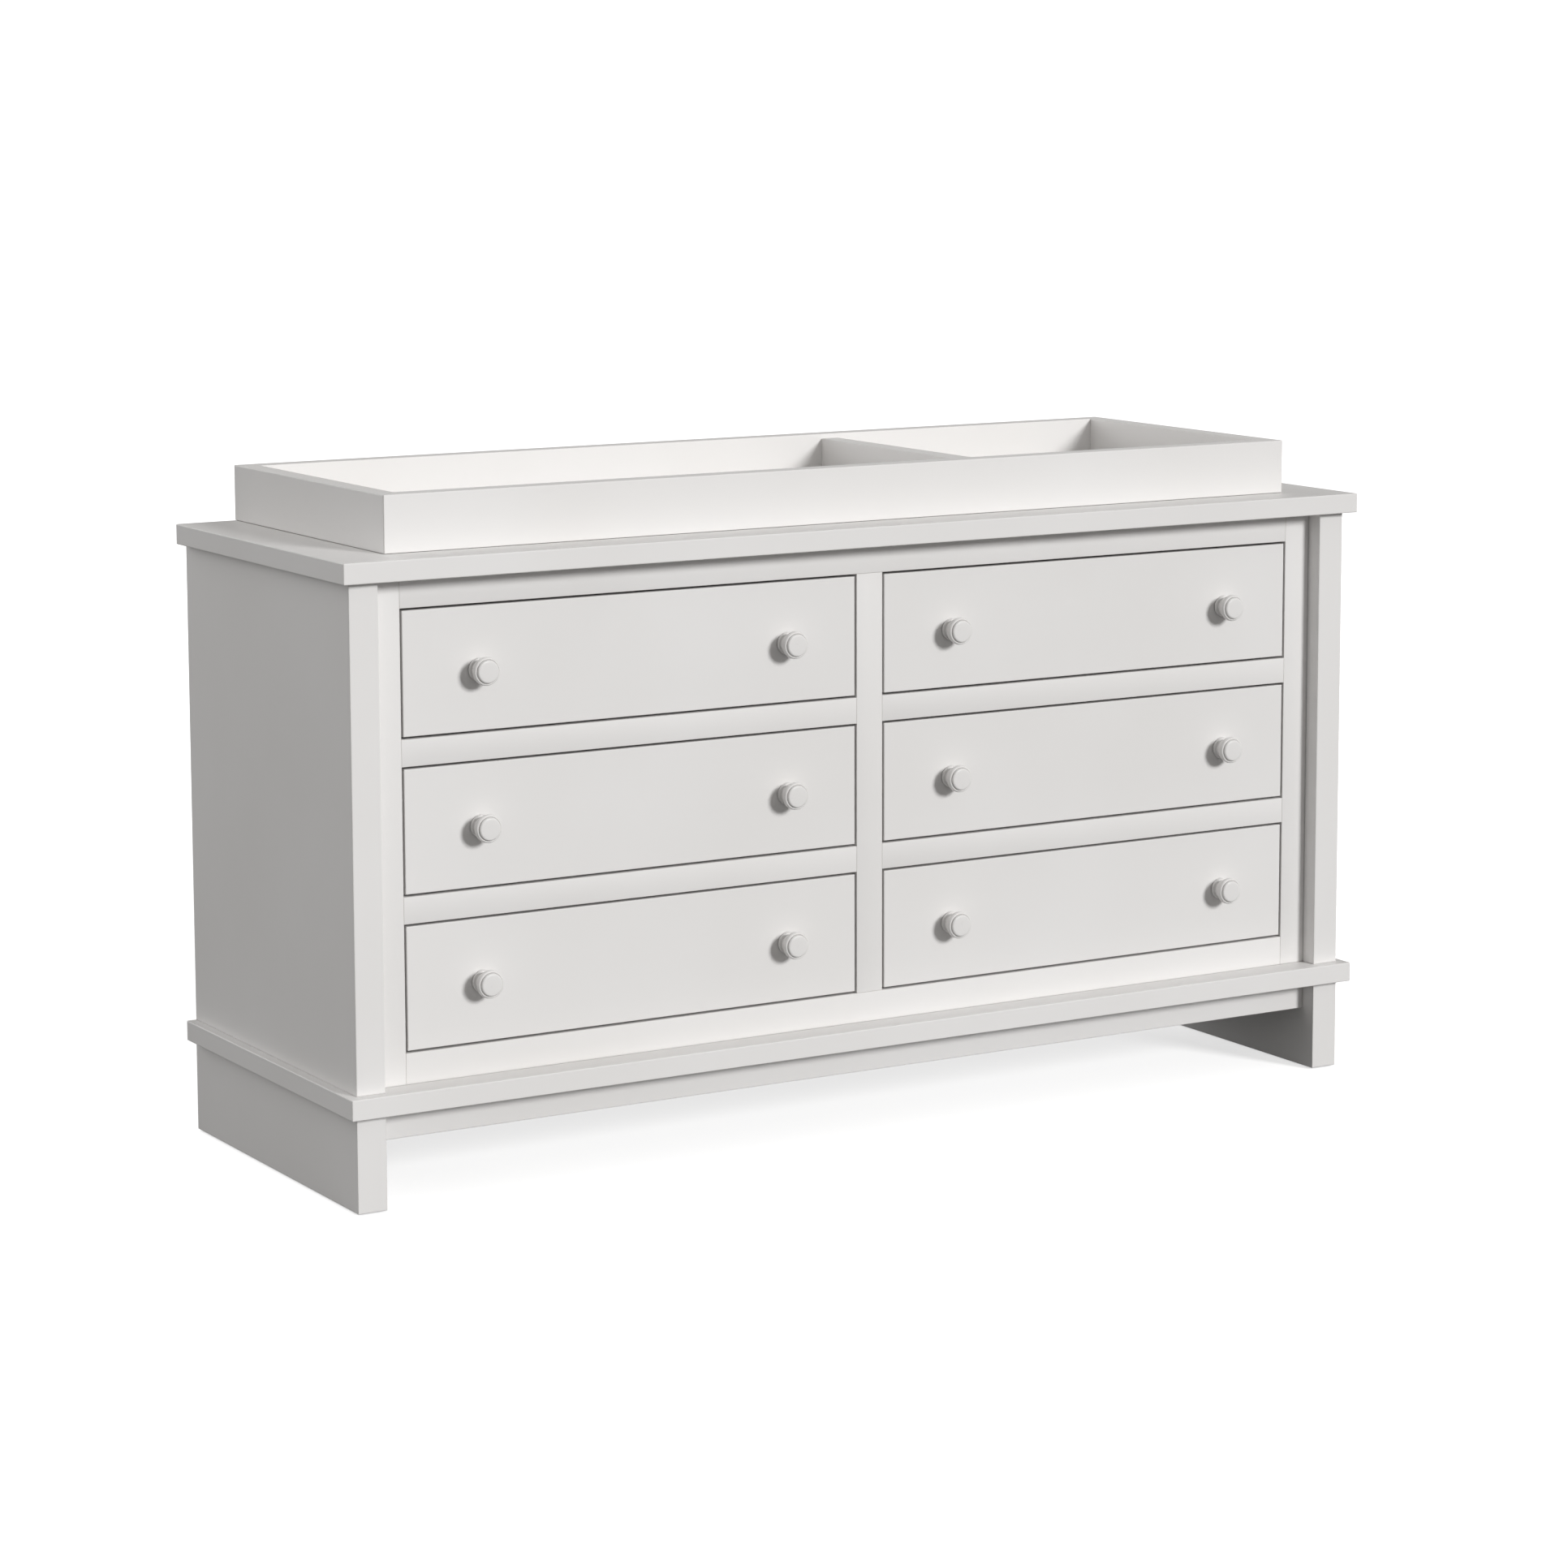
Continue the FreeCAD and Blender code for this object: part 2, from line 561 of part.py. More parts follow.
def make_tray():
    """Four mitred walls grooved for a bottom panel, and a divider parallel to the ends."""
    z0 = TRAY_FOOT
    z1 = z0 + TRAY_HEIGHT
    panel_z = z0 + TRAY_BOTTOM_RISE
    inner_front = TRAY_FRONT + TRAY_WALL
    inner_back = TRAY_BACK - TRAY_WALL

    def panel(reach):
        return board(
            -TRAY_INNER_HALF - reach, TRAY_INNER_HALF + reach, inner_front - reach, inner_back + reach,
            panel_z, panel_z + TRAY_BOTTOM_THICKNESS,
        )

    groove = panel(TRAY_GROOVE_DEPTH)
    write("tray_bottom", [panel(TRAY_GROOVE_DEPTH - JOINT_CLEARANCE)])

    front = eased(board(-TRAY_HALF, TRAY_HALF, TRAY_FRONT, inner_front, z0, z1), TRAY_ROUND)
    back = eased(board(-TRAY_HALF, TRAY_HALF, inner_back, TRAY_BACK, z0, z1), TRAY_ROUND)
    front_zone = mitre_zone(TRAY_FRONT, inner_front, z0)
    back_zone = mitre_zone(TRAY_BACK, inner_back, z0)
    front = front.common(front_zone).cut(groove)
    back = back.common(back_zone).cut(groove)
    ends = []
    for sign in SIDES.values():
        end = board(sign * TRAY_INNER_HALF, sign * TRAY_HALF, TRAY_FRONT, TRAY_BACK, z0, z1)
        ends.append(eased(end, TRAY_ROUND).cut([front_zone, back_zone]).cut(groove))
        for z in strap_screw_heights():
            tip = BACK - STRAP_SCREW_DEPTH - SCREW_CLEARANCE
            back = back.cut(rod(
                sign * STRAP_FROM_MIDDLE, tip, BACK + 1, z, HOOK_SCREW_RADIUS + SCREW_CLEARANCE
            ))
    write("tray_front_wall", [front])
    write("tray_back_wall", [back])
    write("tray_end_walls", ends)

    divider_right = TRAY_INNER_HALF - DIVIDER_FROM_RIGHT
    divider_top = z1 - DIVIDER_DROP
    divider = board(
        divider_right - TRAY_WALL, divider_right, inner_front, inner_back,
        panel_z + TRAY_BOTTOM_THICKNESS, divider_top,
    )
    long_top_edges = [
        e for e in divider.Edges if e.BoundBox.ZMin > divider_top - 1 and e.Length > TRAY_WALL + 1
    ]
    write("tray_divider", [divider.makeFillet(TRAY_ROUND, long_top_edges)])


def make_straps():
    """Two slotted steel straps on the tray, and the hook screws in the case they drop over."""
    straps = []
    screws = []
    hooks = []
    low = TOP_UNDERSIDE - STRAP_BELOW_TOP
    seat = BACK + STRAP_THICKNESS
    for sign in SIDES.values():
        x = sign * STRAP_FROM_MIDDLE
        half_slot = STRAP_SLOT_WIDTH / 2
        strap = board(
            x - STRAP_WIDTH / 2, x + STRAP_WIDTH / 2, BACK, seat, low, TOP_SURFACE + STRAP_ABOVE_TOP
        )
        slot = board(x - half_slot, x + half_slot, BACK - 1, seat + 1, low - 1, HOOK_HEIGHT)
        slot_end = rod(x, BACK - 1, seat + 1, HOOK_HEIGHT, half_slot)
        holes = []
        for z in strap_screw_heights():
            holes.append(rod(x, BACK - 1, seat + 1, z, HOOK_SCREW_RADIUS + SCREW_CLEARANCE))
            screws.append(make_screw(x, z, BACK - STRAP_SCREW_DEPTH, seat))
        straps.append(strap.cut([slot, slot_end] + holes))
        hooks.append(make_screw(x, HOOK_HEIGHT, BACK - HOOK_SCREW_DEPTH, seat + HOOK_HEAD_GAP))
    write("tray_straps", straps + screws)
    write("tray_hook_screws", hooks)


# ---------------------------------------------------------------- put it together
make_case_boards()
make_glides()
make_aprons()
make_face_frame()
make_inside()
cabinet_rails = []
for side, sign in SIDES.items():
    for row in range(ROWS):
        cabinet_rails += make_drawer(side, sign, row)
write("cabinet_slide_rails", cabinet_rails)
make_tray()
make_straps()
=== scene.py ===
import bmesh
import bpy
import math
import numpy as np
from mathutils import Matrix, Vector


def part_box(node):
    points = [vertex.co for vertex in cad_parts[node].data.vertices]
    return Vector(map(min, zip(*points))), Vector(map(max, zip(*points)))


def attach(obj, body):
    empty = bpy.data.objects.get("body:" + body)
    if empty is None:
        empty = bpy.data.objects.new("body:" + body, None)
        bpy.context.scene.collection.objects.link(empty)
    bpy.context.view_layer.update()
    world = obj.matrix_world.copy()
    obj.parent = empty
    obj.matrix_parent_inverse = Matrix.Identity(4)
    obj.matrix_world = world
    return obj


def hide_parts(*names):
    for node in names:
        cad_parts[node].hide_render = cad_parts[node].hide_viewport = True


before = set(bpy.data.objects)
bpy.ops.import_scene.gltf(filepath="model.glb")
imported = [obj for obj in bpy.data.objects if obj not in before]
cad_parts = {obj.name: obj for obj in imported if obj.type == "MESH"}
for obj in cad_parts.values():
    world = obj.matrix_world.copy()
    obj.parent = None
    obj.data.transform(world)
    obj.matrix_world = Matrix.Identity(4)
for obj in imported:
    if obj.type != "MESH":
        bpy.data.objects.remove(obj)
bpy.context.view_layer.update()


# ---------------------------------------------------------------- leg panels
# Two thick slabs that carry the case, glued up from solid boards, sanded, fixed up into
# the base board and sprayed with white satin paint. The grain runs up and down.

def shader_node(tree, kind, settings=None, **inputs):
    """Adds one node, applies its own settings, then links or sets each named input.

    An input is named after its socket, or after an underscore and the socket's number.
    """
    made = tree.nodes.new(kind)
    for key, value in (settings or {}).items():
        setattr(made, key, value)
    for key, value in inputs.items():
        socket = made.inputs[int(key[1:])] if key[0] == "_" else made.inputs[key.replace("_", " ")]
        if isinstance(value, bpy.types.NodeSocket):
            tree.links.new(value, socket)
        else:
            socket.default_value = value
    return made


def finish(name, **sockets):
    """An empty node material, its tree and its Principled shader with plain sockets set."""
    material = bpy.data.materials.new(name)
    material.use_nodes = True
    tree = material.node_tree
    shader = tree.nodes["Principled BSDF"]
    for key, value in sockets.items():
        shader.inputs[key.replace("_", " ")].default_value = value
    return material, tree, shader


def ramp(tree, factor, *stops):
    """A colour ramp through the stops, each a place and a grey or an RGB colour."""
    made = shader_node(tree, "ShaderNodeValToRGB", Fac=factor)
    elements = made.color_ramp.elements
    while len(elements) < len(stops):
        elements.new(0.5)
    for element, (place, colour) in zip(elements, stops):
        element.position = place
        element.color = (*colour, 1) if isinstance(colour, tuple) else (colour, colour, colour, 1)
    return made.outputs["Color"]


def stretched(tree, along, across_scale, along_scale):
    """Object coordinates stretched so that a pattern runs along one axis."""
    place = shader_node(tree, "ShaderNodeTexCoord").outputs["Object"]
    scale = [across_scale] * 3
    scale["XYZ".index(along)] = along_scale
    return shader_node(tree, "ShaderNodeMapping", Vector=place, Scale=scale).outputs["Vector"]


def noise(tree, place, scale, detail=2.0, roughness=0.5):
    """Fractal noise at a place."""
    made = shader_node(
        tree, "ShaderNodeTexNoise", Vector=place, Scale=scale, Detail=detail, Roughness=roughness
    )
    return made.outputs["Fac"]


PAINT_WHITE = (0.812, 0.800, 0.790)
PAINT_CREAM = (0.786, 0.772, 0.758)
PAINT_THIN = (0.73, 0.70, 0.66)
PAINT_ROUGHNESS = (0.43, 0.52)
PAINT_EDGE = 0.0014          # radius over which the film thins at an edge
GRAIN_ACROSS = 130.0         # grain marks per metre across the board
GRAIN_ALONG = 6.0            # and along it
GRAIN_RELIEF = 0.00012
PEEL_SCALE = 620.0           # orange peel, dimples per metre
PEEL_RELIEF = 0.00005
DRIFT_SCALE = 2.6
# The near black that narrow gaps are painted towards, as painted shade.
CREVICE_SHADE = (0.11, 0.105, 0.10)
CREVICE_REACH = 0.005
GAP_SHADE_SHARE = 0.9             # how far the deepest gap is darkened, as painted shade


def satin_paint(name, along, gloss=0.0, gap_shade=GAP_SHADE_SHARE):
    """White satin paint sprayed over wood.

    Stretched noise is the grain that telegraphs through the film and varies its gloss, a
    fine even noise is the spray's orange peel, and broad noise drifts the colour. The
    film is thinner where an edge is eased, and ambient occlusion paints narrow gaps and
    inside corners darker, as painted shade.
    """
    material, tree, shader = finish(name, IOR=1.47, Specular_IOR_Level=0.36)
    place = shader_node(tree, "ShaderNodeTexCoord").outputs["Object"]
    grain = noise(
        tree, stretched(tree, along, GRAIN_ACROSS, GRAIN_ALONG), 1.0, detail=6.0, roughness=0.62
    )
    peel = noise(tree, place, PEEL_SCALE)
    broad = noise(tree, place, DRIFT_SCALE, detail=3.0)
    rounded = shader_node(
        tree, "ShaderNodeBevel", {"samples": 4}, Radius=PAINT_EDGE
    ).outputs["Normal"]
    flat = shader_node(tree, "ShaderNodeNewGeometry").outputs["True Normal"]
    agree = shader_node(
        tree, "ShaderNodeVectorMath", {"operation": "DOT_PRODUCT"}, _0=rounded, _1=flat
    )
    edge = ramp(tree, agree.outputs["Value"], (0.82, 0.85), (0.985, 0.0))
    tone = ramp(tree, broad, (0.34, PAINT_CREAM), (0.66, PAINT_WHITE))
    worn = shader_node(
        tree, "ShaderNodeMix", {"data_type": "RGBA"}, _0=edge, _6=tone, _7=(*PAINT_THIN, 1)
    )
    # Painted shade: ambient occlusion within a few millimetres darkens narrow gaps and inside corners
    # towards near black.
    shelter = shader_node(
        tree, "ShaderNodeAmbientOcclusion", {"samples": 4}, Distance=CREVICE_REACH
    )
    depth = ramp(tree, shelter.outputs["AO"], (0.10, gap_shade), (0.42, 0.0))
    gap_shaded = shader_node(
        tree, "ShaderNodeMix", {"data_type": "RGBA"},
        _0=depth, _6=worn.outputs[2], _7=(*CREVICE_SHADE, 1),
    )
    tree.links.new(gap_shaded.outputs[2], shader.inputs["Base Color"])
    smooth, rough = PAINT_ROUGHNESS
    sheen = ramp(tree, grain, (0.3, smooth - gloss), (0.7, rough - gloss))
    tree.links.new(sheen, shader.inputs["Roughness"])
    low = shader_node(
        tree, "ShaderNodeBump", Strength=0.30, Distance=GRAIN_RELIEF, Height=grain, Normal=rounded
    )
    fine = shader_node(
        tree, "ShaderNodeBump", Strength=0.16, Distance=PEEL_RELIEF, Height=peel,
        Normal=low.outputs["Normal"],
    )
    tree.links.new(fine.outputs["Normal"], shader.inputs["Normal"])
    return material


def dress(material, *names):
    """Gives CAD nodes their material."""
    for name in names:
        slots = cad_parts[name].data.materials
        slots.clear()
        slots.append(material)


paint = {axis: satin_paint("white_satin_paint_" + axis.lower(), axis) for axis in "XYZ"}
dress(paint["Z"], "leg_panels")


# ---------------------------------------------------------------- floor glides
# Four moulded nylon discs under the leg panels, each with a rounded rim and tapped in.

def turned(profile, foot, axis, sides):
    """Rings of a turned shape.

    Row k is a circle of the profile's k-th radius, at the profile's k-th height along
    the axis from the foot: foot + height * axis + radius * (cos t * u + sin t * v).
    """
    axis = np.array(axis, float)
    u = np.array([1.0, 0, 0]) if abs(axis[0]) < 0.5 else np.array([0, 1.0, 0])
    v = np.cross(axis, u)
    t = np.linspace(0, 2 * math.pi, sides, endpoint=False)
    circle = np.cos(t)[:, None] * u + np.sin(t)[:, None] * v
    radius, height = np.array(profile, float).T
    return np.array(foot) + height[:, None, None] * axis + radius[:, None, None] * circle[None]


def skinned(total, rings, material_index=0):
    """Skins a stack of closed rings with quads, closes both ends and adds it to a mesh."""
    rows, sides = rings.shape[:2]
    number = np.arange(rows * sides).reshape(rows, sides)
    low, high = number[:-1], number[1:]
    quads = np.stack([low, np.roll(low, -1, 1), np.roll(high, -1, 1), high], -1).reshape(-1, 4)
    shell = bpy.data.meshes.new("shell")
    shell.from_pydata(
        rings.reshape(-1, 3).tolist(), [],
        quads.tolist() + [number[0][::-1].tolist(), number[-1].tolist()],
    )
    shell.polygons.foreach_set("material_index", np.full(len(shell.polygons), material_index))
    one = bmesh.new()
    one.from_mesh(shell)
    bmesh.ops.remove_doubles(one, verts=one.verts, dist=2e-7)
    bmesh.ops.dissolve_degenerate(one, edges=one.edges, dist=2e-7)
    bmesh.ops.recalc_face_normals(one, faces=one.faces)
    one.to_mesh(shell)
    one.free()
    total.from_mesh(shell)
    bpy.data.meshes.remove(shell)


def made_piece(name, shells, materials, body, slot, *replaced, smooth=40.0):
    """Makes one object of several shells, each a stack of rings and a material number."""
    total = bmesh.new()
    for rings, material_index in shells:
        skinned(total, rings, material_index)
    mesh = bpy.data.meshes.new(name)
    total.to_mesh(mesh)
    total.free()
    for material in materials:
        mesh.materials.append(material)
    mesh.shade_smooth()
    mesh.set_sharp_from_angle(angle=math.radians(smooth))
    piece = bpy.data.objects.new(name, mesh)
    bpy.context.scene.collection.objects.link(piece)
    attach(piece, body)
    if replaced:
        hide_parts(*replaced)
    return piece


def soften(piece, width, segments):
    """Eases every edge that turns by more than 40 degrees."""
    softened = piece.modifiers.new("eased_edges", "BEVEL")
    softened.width = width
    softened.segments = segments
    softened.limit_method = "ANGLE"
    softened.angle_limit = math.radians(40)


def arc(centre, radius, start, end, count):
    """Points on an arc in the profile plane, angles in degrees from the outward radius."""
    t = np.radians(np.linspace(start, end, count))
    return list(zip(centre[0] + radius * np.cos(t), centre[1] + radius * np.sin(t)))


nylon, tree, shader = finish("moulded_nylon", Subsurface_Weight=0.15, IOR=1.53)
place = shader_node(tree, "ShaderNodeTexCoord").outputs["Object"]
tree.links.new(
    ramp(tree, noise(tree, place, 90.0), (0.3, (0.62, 0.60, 0.55)), (0.7, (0.70, 0.68, 0.63))),
    shader.inputs["Base Color"],
)
tree.links.new(
    ramp(tree, noise(tree, place, 400.0), (0.3, 0.42), (0.7, 0.58)), shader.inputs["Roughness"]
)

GLIDE_RADIUS = 0.011
GLIDE_EDGE = 0.0008
GLIDE_RING = (0.0022, 0.0038)    # inner and outer radius of the moulded ring round the gate
GLIDE_RING_DEPTH = 0.0005
GLIDE_RING_SLOPE = 0.0004
glide_low, glide_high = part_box("floor_glides")
ring_in, ring_out = GLIDE_RING
glide_profile = (
    [(0, 0), (ring_in, 0), (ring_in + GLIDE_RING_SLOPE, GLIDE_RING_DEPTH)]
    + [(ring_out - GLIDE_RING_SLOPE, GLIDE_RING_DEPTH), (ring_out, 0)]
    + arc((GLIDE_RADIUS - GLIDE_EDGE, GLIDE_EDGE), GLIDE_EDGE, -90, 0, 6)
    + [(GLIDE_RADIUS, glide_high.z), (0, glide_high.z)]
)
made_piece(
    "nylon_floor_glides",
    [
        (turned(glide_profile, (x, y, 0), (0, 0, 1), 48), 0)
        for x in (glide_low.x + GLIDE_RADIUS, glide_high.x - GLIDE_RADIUS)
        for y in (glide_low.y + GLIDE_RADIUS, glide_high.y - GLIDE_RADIUS)
    ],
    [nylon], "case", "glide_nylon", "floor_glides",
)


# ---------------------------------------------------------------- base board and aprons
# A thick board with eased edges lies across the legs. Two aprons between the legs stiffen it.
dress(paint["X"], "base_board", "base_aprons")


# ---------------------------------------------------------------- side panels
# Thick glued slabs, rabbeted at the back for the back panel. The grain runs up and down.
dress(paint["Z"], "left_side_panel", "right_side_panel")


# ---------------------------------------------------------------- face frame
# Solid stiles and rails, 22 mm thick, glued with the stiles running through. Each board's
# edges are eased before glue-up, so every joint shows as a fine line under the paint.

def eased_board(low, high, radius, steps=3):
    """Rings of a board with rounded edges.

    Each point is the nearest corner of a core, inset by the radius, plus the radius
    times a direction. Directions run over latitude and longitude, and each quarter turn
    belongs to one corner of the core, so the faces between stay flat.
    """
    quarter = np.linspace(0, math.pi / 2, steps + 1)
    around = np.concatenate([quarter + k * math.pi / 2 for k in range(4)])
    corner = np.repeat([(1, 1), (-1, 1), (-1, -1), (1, -1)], steps + 1, axis=0)
    up = np.concatenate([-quarter[::-1], quarter])
    level = np.repeat([-1, 1], steps + 1)
    middle = (np.array(low) + np.array(high)) / 2
    core = (np.array(high) - np.array(low)) / 2 - radius
    x = corner[None, :, 0] * core[0] + radius * np.cos(up)[:, None] * np.cos(around)[None]
    y = corner[None, :, 1] * core[1] + radius * np.cos(up)[:, None] * np.sin(around)[None]
    z = (level * core[2] + radius * np.sin(up))[:, None] + np.zeros_like(x)
    return middle + np.stack([x, y, z], -1)


FRAME_ROUND = 0.0003
FLAT_FACED = 20.0
STILE_WIDTH = 0.041
DIVIDER_RAIL_HEIGHT = 0.035
side_low, side_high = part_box("side_stiles")
made_piece(
    "eased_side_stiles",
    [
        (eased_board((x0, side_low.y, side_low.z), (x1, side_high.y, side_high.z), FRAME_ROUND), 0)
        for x0, x1 in ((side_low.x, side_low.x + STILE_WIDTH), (side_high.x - STILE_WIDTH, side_high.x))
    ],
    [paint["Z"]], "case", "painted_wood", "side_stiles", smooth=FLAT_FACED,
)
center_low, center_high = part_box("center_stile")
made_piece(
    "eased_center_stile", [(eased_board(center_low, center_high, FRAME_ROUND), 0)],
    [paint["Z"]], "case", "painted_wood", "center_stile", smooth=FLAT_FACED,
)
for rail in ("top_rail", "bottom_rail"):
    made_piece(
        "eased_" + rail, [(eased_board(*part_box(rail), FRAME_ROUND), 0)],
        [paint["X"]], "case", "painted_wood", rail, smooth=FLAT_FACED,
    )
rails_low, rails_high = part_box("drawer_divider_rails")
divider_rails = []
for x0, x1 in ((rails_low.x, center_low.x), (center_high.x, rails_high.x)):
    for z0 in (rails_low.z, rails_high.z - DIVIDER_RAIL_HEIGHT):
        divider_rails.append((eased_board(
            (x0, rails_low.y, z0), (x1, rails_high.y, z0 + DIVIDER_RAIL_HEIGHT), FRAME_ROUND
        ), 0))
made_piece(
    "eased_drawer_divider_rails", divider_rails,
    [paint["X"]], "case", "painted_wood", "drawer_divider_rails", smooth=FLAT_FACED,
)


# ---------------------------------------------------------------- inside of the case
# A partition, a back rail and packers for the slides, of planed pine under clear lacquer.

HEART_SLANT = 0.11           # radians between the tree's heart and the board
RING_STRETCH = 0.3           # the rings' waver is this much slower along the board
RING_SCALE = 50.0
RING_WAVER = 11.0
FIBRE_ACROSS = 900.0
FIBRE_ALONG = 14.0
END_GRAIN = 0.60             # brightness of a cut end against a face


def lacquered_pine(name, along, shift):
    """Pine under clear lacquer.

    Growth rings are saw-toothed circles about an axis just off the board's length, bent
    by noise, so faces show long cathedral figure and ends show arcs. Fine stretched noise
    is the fibre, and broad noise the drift in colour. Cut ends, whose normal lies along
    the board, drink the lacquer and are darker.
    """
    material, tree, shader = finish(name, IOR=1.5, Coat_Weight=0.25, Coat_Roughness=0.25)
    place = shader_node(tree, "ShaderNodeTexCoord").outputs["Object"]
    slant, length = [HEART_SLANT] * 3, [1.0] * 3
    slant["XYZ".index(along)], length["XYZ".index(along)] = 0.0, RING_STRETCH
    heart = shader_node(
        tree, "ShaderNodeMapping", Vector=place, Location=shift, Rotation=slant, Scale=length
    ).outputs["Vector"]
    rings = shader_node(
        tree, "ShaderNodeTexWave",
        {"wave_type": "RINGS", "rings_direction": along, "wave_profile": "SAW"},
        Vector=heart, Scale=RING_SCALE, Distortion=RING_WAVER,
        Detail=3.0, Detail_Scale=0.13, Detail_Roughness=0.5,
    ).outputs["Fac"]
    fibre = noise(
        tree, stretched(tree, along, FIBRE_ACROSS, FIBRE_ALONG), 1.0, detail=4.0, roughness=0.6
    )
    broad = noise(tree, stretched(tree, along, 9.0, 1.2), 1.0, detail=3.0)
    early = ramp(tree, broad, (0.3, (0.70, 0.51, 0.29)), (0.7, (0.78, 0.60, 0.37)))
    late = ramp(tree, fibre, (0.3, (0.50, 0.30, 0.13)), (0.7, (0.62, 0.41, 0.20)))
    share = ramp(tree, rings, (0.35, 0.0), (0.80, 0.42), (1.0, 0.75))
    colour = shader_node(tree, "ShaderNodeMix", {"data_type": "RGBA"}, _0=share, _6=early, _7=late)
    facing = shader_node(
        tree, "ShaderNodeSeparateXYZ",
        Vector=shader_node(tree, "ShaderNodeNewGeometry").outputs["True Normal"],
    ).outputs[along]
    facing = shader_node(tree, "ShaderNodeMath", {"operation": "ABSOLUTE"}, _0=facing).outputs[0]
    darkened = shader_node(
        tree, "ShaderNodeVectorMath", {"operation": "SCALE"},
        _0=colour.outputs[2], Scale=ramp(tree, facing, (0.7, 1.0), (0.9, END_GRAIN)),
    )
    tree.links.new(darkened.outputs["Vector"], shader.inputs["Base Color"])
    tree.links.new(ramp(tree, fibre, (0.3, 0.40), (0.7, 0.55)), shader.inputs["Roughness"])
    raised = shader_node(tree, "ShaderNodeBump", Strength=0.25, Distance=0.0002, Height=fibre)
    ridged = shader_node(
        tree, "ShaderNodeBump", Strength=0.2, Distance=0.0002, Height=share,
        Normal=raised.outputs["Normal"],
    )
    tree.links.new(ridged.outputs["Normal"], shader.inputs["Normal"])
    return material


pine = {
    "X": lacquered_pine("lacquered_pine_x", "X", (0.0, 0.11, 0.07)),
    "Y": lacquered_pine("lacquered_pine_y", "Y", (0.12, 0.0, 0.05)),
    "Z": lacquered_pine("lacquered_pine_z", "Z", (0.09, 0.06, 0.0)),
}
dress(pine["Z"], "center_partition")
dress(pine["X"], "back_top_rail")
dress(pine["Y"], "slide_packers")


# ---------------------------------------------------------------- back panel
# White-faced thin board, dropped into the rabbets and held by pins with small round heads.
panel, tree, shader = finish("white_faced_board", IOR=1.5, Specular_IOR_Level=0.35)
place = shader_node(tree, "ShaderNodeTexCoord").outputs["Object"]
mottle = noise(tree, place, 7.0, 4.0)
stipple = noise(tree, place, 1400.0)
tree.links.new(
    ramp(tree, mottle, (0.3, (0.745, 0.735, 0.71)), (0.7, (0.765, 0.755, 0.73))),
    shader.inputs["Base Color"],
)
tree.links.new(ramp(tree, mottle, (0.3, 0.50), (0.7, 0.62)), shader.inputs["Roughness"])
pressed = shader_node(tree, "ShaderNodeBump", Strength=0.25, Distance=0.00008, Height=stipple)
tree.links.new(pressed.outputs["Normal"], shader.inputs["Normal"])
drawer_names = [row + "_" + side for row in ("lower", "middle", "upper") for side in ("left", "right")]
dress(panel, "back_panel", *[name + "_drawer_bottom" for name in drawer_names])


def zinc_plate(name, along):
    """Zinc-plated steel: a bright metal with drawn lines along one axis and cloudy gloss."""
    material, tree, shader = finish(name, Metallic=1.0)
    place = shader_node(tree, "ShaderNodeTexCoord").outputs["Object"]
    drawn = noise(tree, stretched(tree, along, 1500.0, 12.0), 1.0, 3.0)
    cloud = noise(tree, place, 60.0, 4.0)
    tree.links.new(
        ramp(
            tree, cloud,
            (0.3, (0.55, 0.56, 0.57)), (0.55, (0.62, 0.63, 0.64)), (0.75, (0.60, 0.59, 0.54)),
        ),
        shader.inputs["Base Color"],
    )
    tree.links.new(ramp(tree, cloud, (0.3, 0.27), (0.7, 0.42)), shader.inputs["Roughness"])
    lines = shader_node(tree, "ShaderNodeBump", Strength=0.2, Distance=0.00004, Height=drawn)
    tree.links.new(lines.outputs["Normal"], shader.inputs["Normal"])
    return material


zinc = {axis: zinc_plate("zinc_plate_" + axis.lower(), axis) for axis in "YZ"}
PIN_RADIUS = 0.0024
PIN_RISE = 0.0007
PIN_SEAT = -0.0002           # underside of a head, pressed into the board
PIN_SIDE_INSET = 0.0065
PIN_END_INSET = 0.008
PIN_COLUMNS = 16
PIN_COLUMN_INSET = 0.03
PIN_ROWS = 6
PIN_ROW_INSET = 0.09
back_low, back_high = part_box("back_panel")
pin_profile = [(0, PIN_SEAT), (PIN_RADIUS, PIN_SEAT)] + [
    (r * PIN_RADIUS, h * PIN_RISE) for r, h in arc((0, 0), 1.0, 0, 90, 6)
]
pin_places = [
    (x, z)
    for x in np.linspace(back_low.x + PIN_COLUMN_INSET, back_high.x - PIN_COLUMN_INSET, PIN_COLUMNS)
    for z in (back_low.z + PIN_END_INSET, back_high.z - PIN_END_INSET)
] + [
    (x, z)
    for x in (back_low.x + PIN_SIDE_INSET, 0.0, back_high.x - PIN_SIDE_INSET)
    for z in np.linspace(back_low.z + PIN_ROW_INSET, back_high.z - PIN_ROW_INSET, PIN_ROWS)
]
made_piece(
    "back_panel_pins",
    [(turned(pin_profile, (x, back_high.y, z), (0, 1, 0), 24), 0) for x, z in pin_places],
    [zinc["Y"]], "case", "zinc_steel",
)


# ---------------------------------------------------------------- drawer slides
# Full-extension slides of rolled zinc-plated steel: a cabinet, a middle and a drawer member,
# nested channels that run in each other. The middle one travels half as far as the drawer.
# Cross-head screws hold the drawer member to the box.
dress(zinc["Y"], "cabinet_slide_rails")
for name in drawer_names:
    dress(zinc["Y"], name + "_slide_middles", name + "_drawer_rails")


HEAD_RIM = 0.3               # straight part of a head, as a share of its height
CROSS_ARM = 0.6              # reach of the cross, as a share of the head's radius
CROSS_WIDTH = 0.14           # half width of an arm, as a share of the head's radius
CROSS_DEPTH = 0.6            # depth of the cross, as a share of the head's height
SCREW_POINT = (0.0006, 0.0018)


